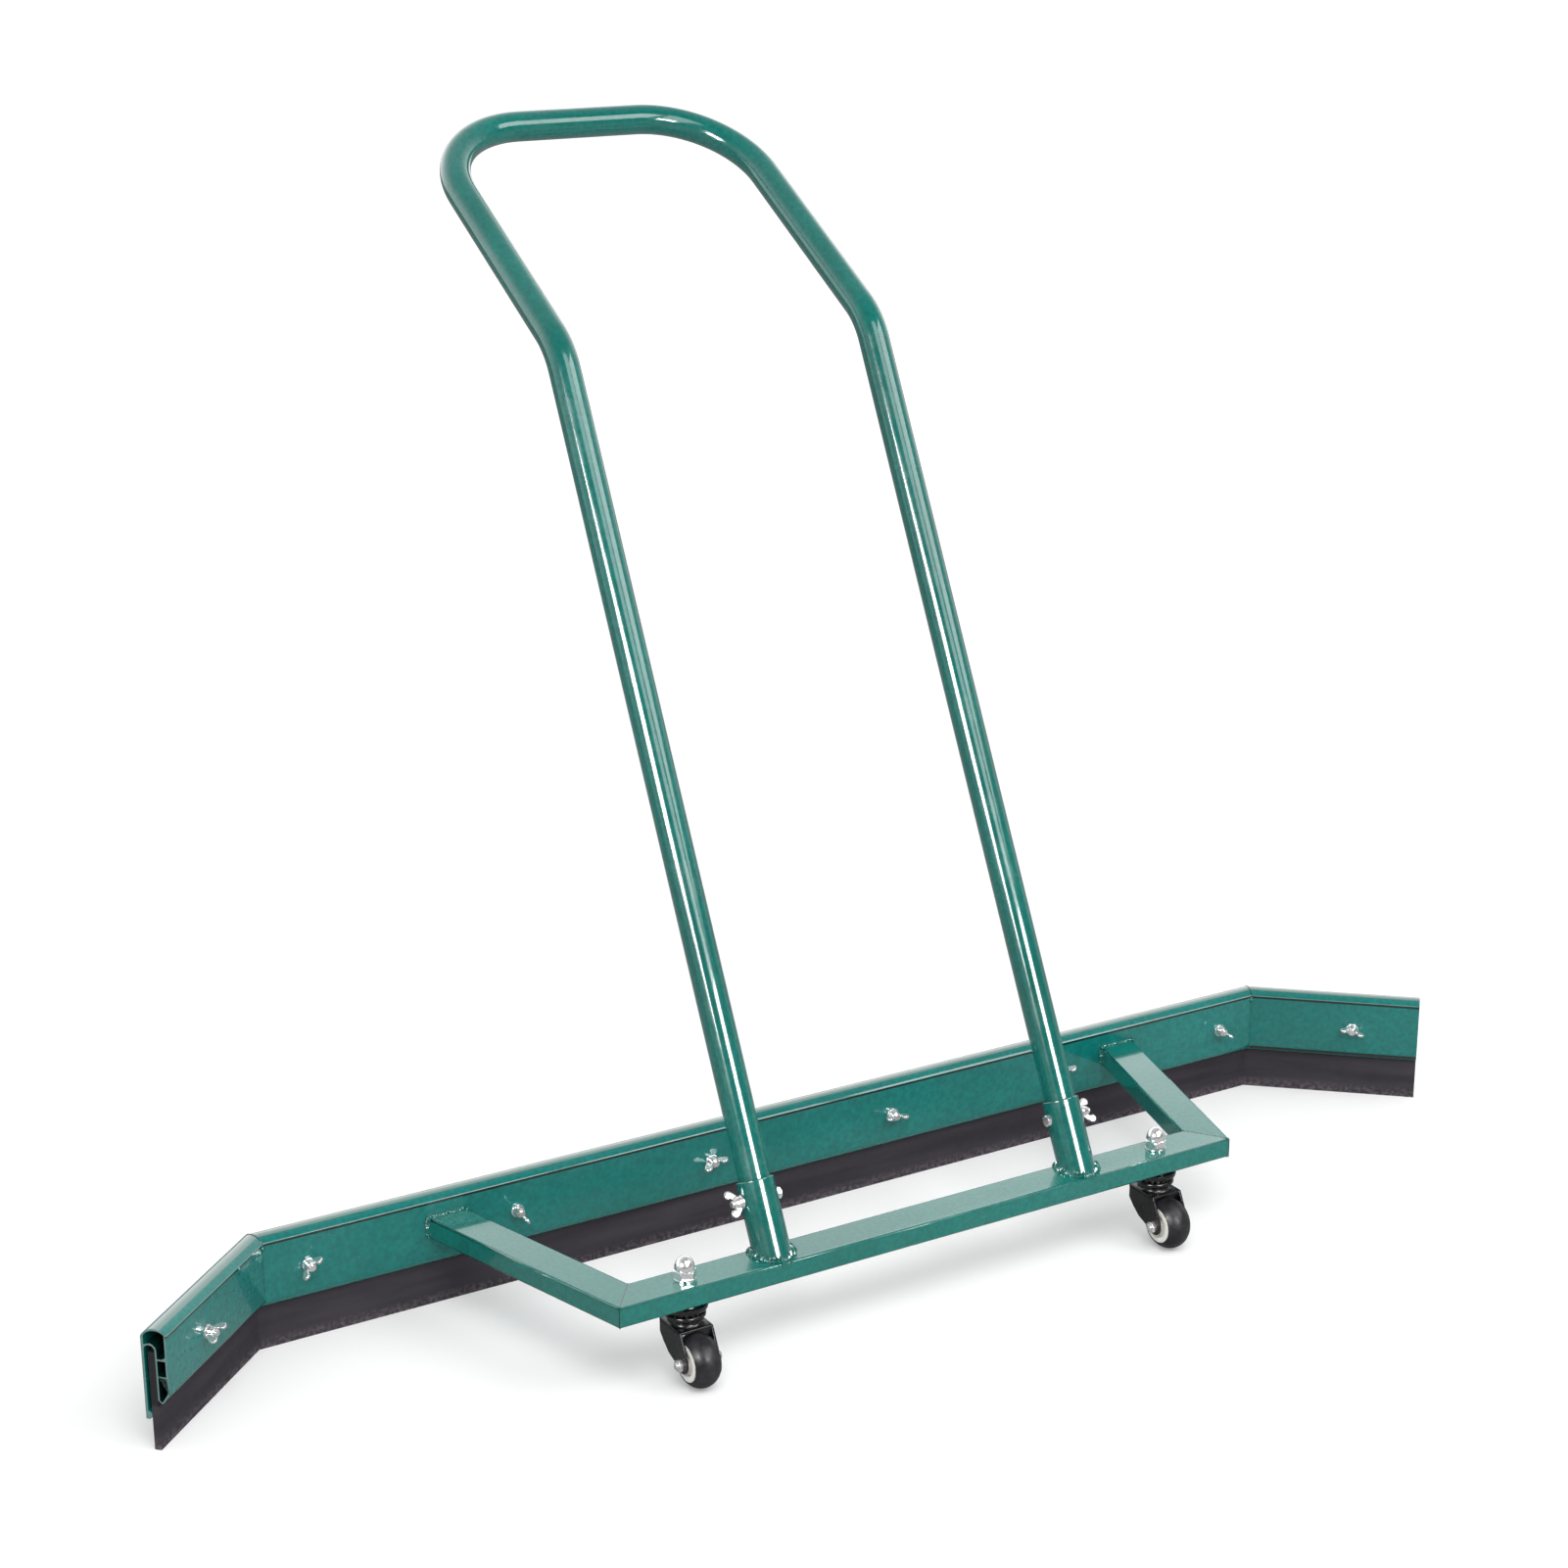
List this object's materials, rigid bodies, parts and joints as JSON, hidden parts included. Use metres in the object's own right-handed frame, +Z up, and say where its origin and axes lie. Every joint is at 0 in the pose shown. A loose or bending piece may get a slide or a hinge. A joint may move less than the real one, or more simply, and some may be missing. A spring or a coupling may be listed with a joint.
{
  "type": "push squeegee",
  "caption": "Wide push squeegee on casters for clearing water off a court: bent green blade channel, rubber strip, tube frame and U handle.",
  "frame": {"origin": "middle of the footprint on the floor", "axes": "+X along the blade, +Y from the casters' side through the blade towards the grip bar, +Z up"},
  "size_m": [1.4202, 0.7256, 1.038],
  "materials": {
    "green_paint": "gloss",
    "blade_rubber": "matte",
    "bright_steel": "bright zinc",
    "ball_steel": "polished",
    "black_steel": "satin",
    "cream_plastic": "satin",
    "tyre_rubber": "matte"
  },
  "bodies": {
    "frame": {"main_channel": "green_paint", "left_wing_channel": "green_paint", "right_wing_channel": "green_paint", "rubber_blade": "blade_rubber", "clamp_bolts": "bright_steel", "crossbar": "green_paint", "left_arm": "green_paint", "right_arm": "green_paint", "left_socket": "green_paint", "right_socket": "green_paint", "handle": "green_paint", "handle_bolts": "bright_steel", "spring_washers": "bright_steel", "dome_nuts": "bright_steel", "left_caster_stem": "black_steel", "left_caster_balls": "ball_steel", "right_caster_stem": "black_steel", "right_caster_balls": "ball_steel"},
    "left_fork": {"left_caster_fork": "black_steel", "left_axle_bolt": "bright_steel", "left_axle_nut": "bright_steel"},
    "left_wheel": {"left_wheel_hub": "cream_plastic", "left_tyre": "tyre_rubber"},
    "right_fork": {"right_caster_fork": "black_steel", "right_axle_bolt": "bright_steel", "right_axle_nut": "bright_steel"},
    "right_wheel": {"right_wheel_hub": "cream_plastic", "right_tyre": "tyre_rubber"},
    "washer_1": {"blade_washer_1": "bright_steel"},
    "nut_1": {"blade_wing_nut_1": "bright_steel"},
    "washer_2": {"blade_washer_2": "bright_steel"},
    "nut_2": {"blade_wing_nut_2": "bright_steel"},
    "washer_3": {"blade_washer_3": "bright_steel"},
    "nut_3": {"blade_wing_nut_3": "bright_steel"},
    "washer_4": {"blade_washer_4": "bright_steel"},
    "nut_4": {"blade_wing_nut_4": "bright_steel"},
    "washer_5": {"blade_washer_5": "bright_steel"},
    "nut_5": {"blade_wing_nut_5": "bright_steel"},
    "washer_6": {"blade_washer_6": "bright_steel"},
    "nut_6": {"blade_wing_nut_6": "bright_steel"},
    "washer_7": {"blade_washer_7": "bright_steel"},
    "nut_7": {"blade_wing_nut_7": "bright_steel"},
    "washer_8": {"blade_washer_8": "bright_steel"},
    "nut_8": {"blade_wing_nut_8": "bright_steel"},
    "left_leg_washer": {"left_handle_washer": "bright_steel"},
    "left_leg_nut": {"left_handle_wing_nut": "bright_steel"},
    "right_leg_washer": {"right_handle_washer": "bright_steel"},
    "right_leg_nut": {"right_handle_wing_nut": "bright_steel"}
  },
  "joints": [
    {"name": "left_swivel", "type": "hinge", "parent": "frame", "child": "left_fork", "pos_m": [-0.259, -0.31481, 0.074], "axis": [0, 0, 1], "continuous": true},
    {"name": "left_roll", "type": "hinge", "parent": "left_fork", "child": "left_wheel", "pos_m": [-0.259, -0.33781, 0.025], "axis": [1, 0, 0], "continuous": true},
    {"name": "right_swivel", "type": "hinge", "parent": "frame", "child": "right_fork", "pos_m": [0.259, -0.31481, 0.074], "axis": [0, 0, 1], "continuous": true},
    {"name": "right_roll", "type": "hinge", "parent": "right_fork", "child": "right_wheel", "pos_m": [0.259, -0.33781, 0.025], "axis": [1, 0, 0], "continuous": true},
    {"name": "wing_nut_1_backs_off", "type": "slide", "parent": "frame", "child": "washer_1", "axis": [0.6691, -0.7431, 0], "range_m": [0, 0.004]},
    {"name": "wing_nut_1_turns", "type": "hinge", "parent": "washer_1", "child": "nut_1", "pos_m": [-0.64276, -0.16007, 0.079], "axis": [0.6691, -0.7431, 0], "range_deg": [0, 1440]},
    {"name": "wing_nut_2_backs_off", "type": "slide", "parent": "frame", "child": "washer_2", "axis": [0, -1, 0], "range_m": [0, 0.004]},
    {"name": "wing_nut_2_turns", "type": "hinge", "parent": "washer_2", "child": "nut_2", "pos_m": [-0.52, -0.08781, 0.079], "axis": [0, -1, 0], "range_deg": [0, 1440]},
    {"name": "wing_nut_3_backs_off", "type": "slide", "parent": "frame", "child": "washer_3", "axis": [0, -1, 0], "range_m": [0, 0.004]},
    {"name": "wing_nut_3_turns", "type": "hinge", "parent": "washer_3", "child": "nut_3", "pos_m": [-0.312, -0.08781, 0.079], "axis": [0, -1, 0], "range_deg": [0, 1440]},
    {"name": "wing_nut_4_backs_off", "type": "slide", "parent": "frame", "child": "washer_4", "axis": [0, -1, 0], "range_m": [0, 0.004]},
    {"name": "wing_nut_4_turns", "type": "hinge", "parent": "washer_4", "child": "nut_4", "pos_m": [-0.104, -0.08781, 0.079], "axis": [0, -1, 0], "range_deg": [0, 1440]},
    {"name": "wing_nut_5_backs_off", "type": "slide", "parent": "frame", "child": "washer_5", "axis": [0, -1, 0], "range_m": [0, 0.004]},
    {"name": "wing_nut_5_turns", "type": "hinge", "parent": "washer_5", "child": "nut_5", "pos_m": [0.104, -0.08781, 0.079], "axis": [0, -1, 0], "range_deg": [0, 1440]},
    {"name": "wing_nut_6_backs_off", "type": "slide", "parent": "frame", "child": "washer_6", "axis": [0, -1, 0], "range_m": [0, 0.004]},
    {"name": "wing_nut_6_turns", "type": "hinge", "parent": "washer_6", "child": "nut_6", "pos_m": [0.312, -0.08781, 0.079], "axis": [0, -1, 0], "range_deg": [0, 1440]},
    {"name": "wing_nut_7_backs_off", "type": "slide", "parent": "frame", "child": "washer_7", "axis": [0, -1, 0], "range_m": [0, 0.004]},
    {"name": "wing_nut_7_turns", "type": "hinge", "parent": "washer_7", "child": "nut_7", "pos_m": [0.52, -0.08781, 0.079], "axis": [0, -1, 0], "range_deg": [0, 1440]},
    {"name": "wing_nut_8_backs_off", "type": "slide", "parent": "frame", "child": "washer_8", "axis": [-0.6691, -0.7431, 0], "range_m": [0, 0.004]},
    {"name": "wing_nut_8_turns", "type": "hinge", "parent": "washer_8", "child": "nut_8", "pos_m": [0.64276, -0.16007, 0.079], "axis": [-0.6691, -0.7431, 0], "range_deg": [0, 1440]},
    {"name": "left_leg_nut_backs_off", "type": "slide", "parent": "frame", "child": "left_leg_washer", "axis": [-1, 0, 0], "range_m": [0, 0.004]},
    {"name": "left_leg_nut_turns", "type": "hinge", "parent": "left_leg_washer", "child": "left_leg_nut", "pos_m": [-0.168, -0.28926, 0.13882], "axis": [-1, 0, 0], "range_deg": [0, 1440]},
    {"name": "right_leg_nut_backs_off", "type": "slide", "parent": "frame", "child": "right_leg_washer", "axis": [1, 0, 0], "range_m": [0, 0.004]},
    {"name": "right_leg_nut_turns", "type": "hinge", "parent": "right_leg_washer", "child": "right_leg_nut", "pos_m": [0.168, -0.28926, 0.13882], "axis": [1, 0, 0], "range_deg": [0, 1440]}
  ],
  "couplings": [
    {"joint": "wing_nut_1_backs_off", "follows": "wing_nut_1_turns", "m_per_rad": 0.00015915},
    {"joint": "wing_nut_2_backs_off", "follows": "wing_nut_2_turns", "m_per_rad": 0.00015915},
    {"joint": "wing_nut_3_backs_off", "follows": "wing_nut_3_turns", "m_per_rad": 0.00015915},
    {"joint": "wing_nut_4_backs_off", "follows": "wing_nut_4_turns", "m_per_rad": 0.00015915},
    {"joint": "wing_nut_5_backs_off", "follows": "wing_nut_5_turns", "m_per_rad": 0.00015915},
    {"joint": "wing_nut_6_backs_off", "follows": "wing_nut_6_turns", "m_per_rad": 0.00015915},
    {"joint": "wing_nut_7_backs_off", "follows": "wing_nut_7_turns", "m_per_rad": 0.00015915},
    {"joint": "wing_nut_8_backs_off", "follows": "wing_nut_8_turns", "m_per_rad": 0.00015915},
    {"joint": "left_leg_nut_backs_off", "follows": "left_leg_nut_turns", "m_per_rad": 0.00015915},
    {"joint": "right_leg_nut_backs_off", "follows": "right_leg_nut_turns", "m_per_rad": 0.00015915}
  ]
}
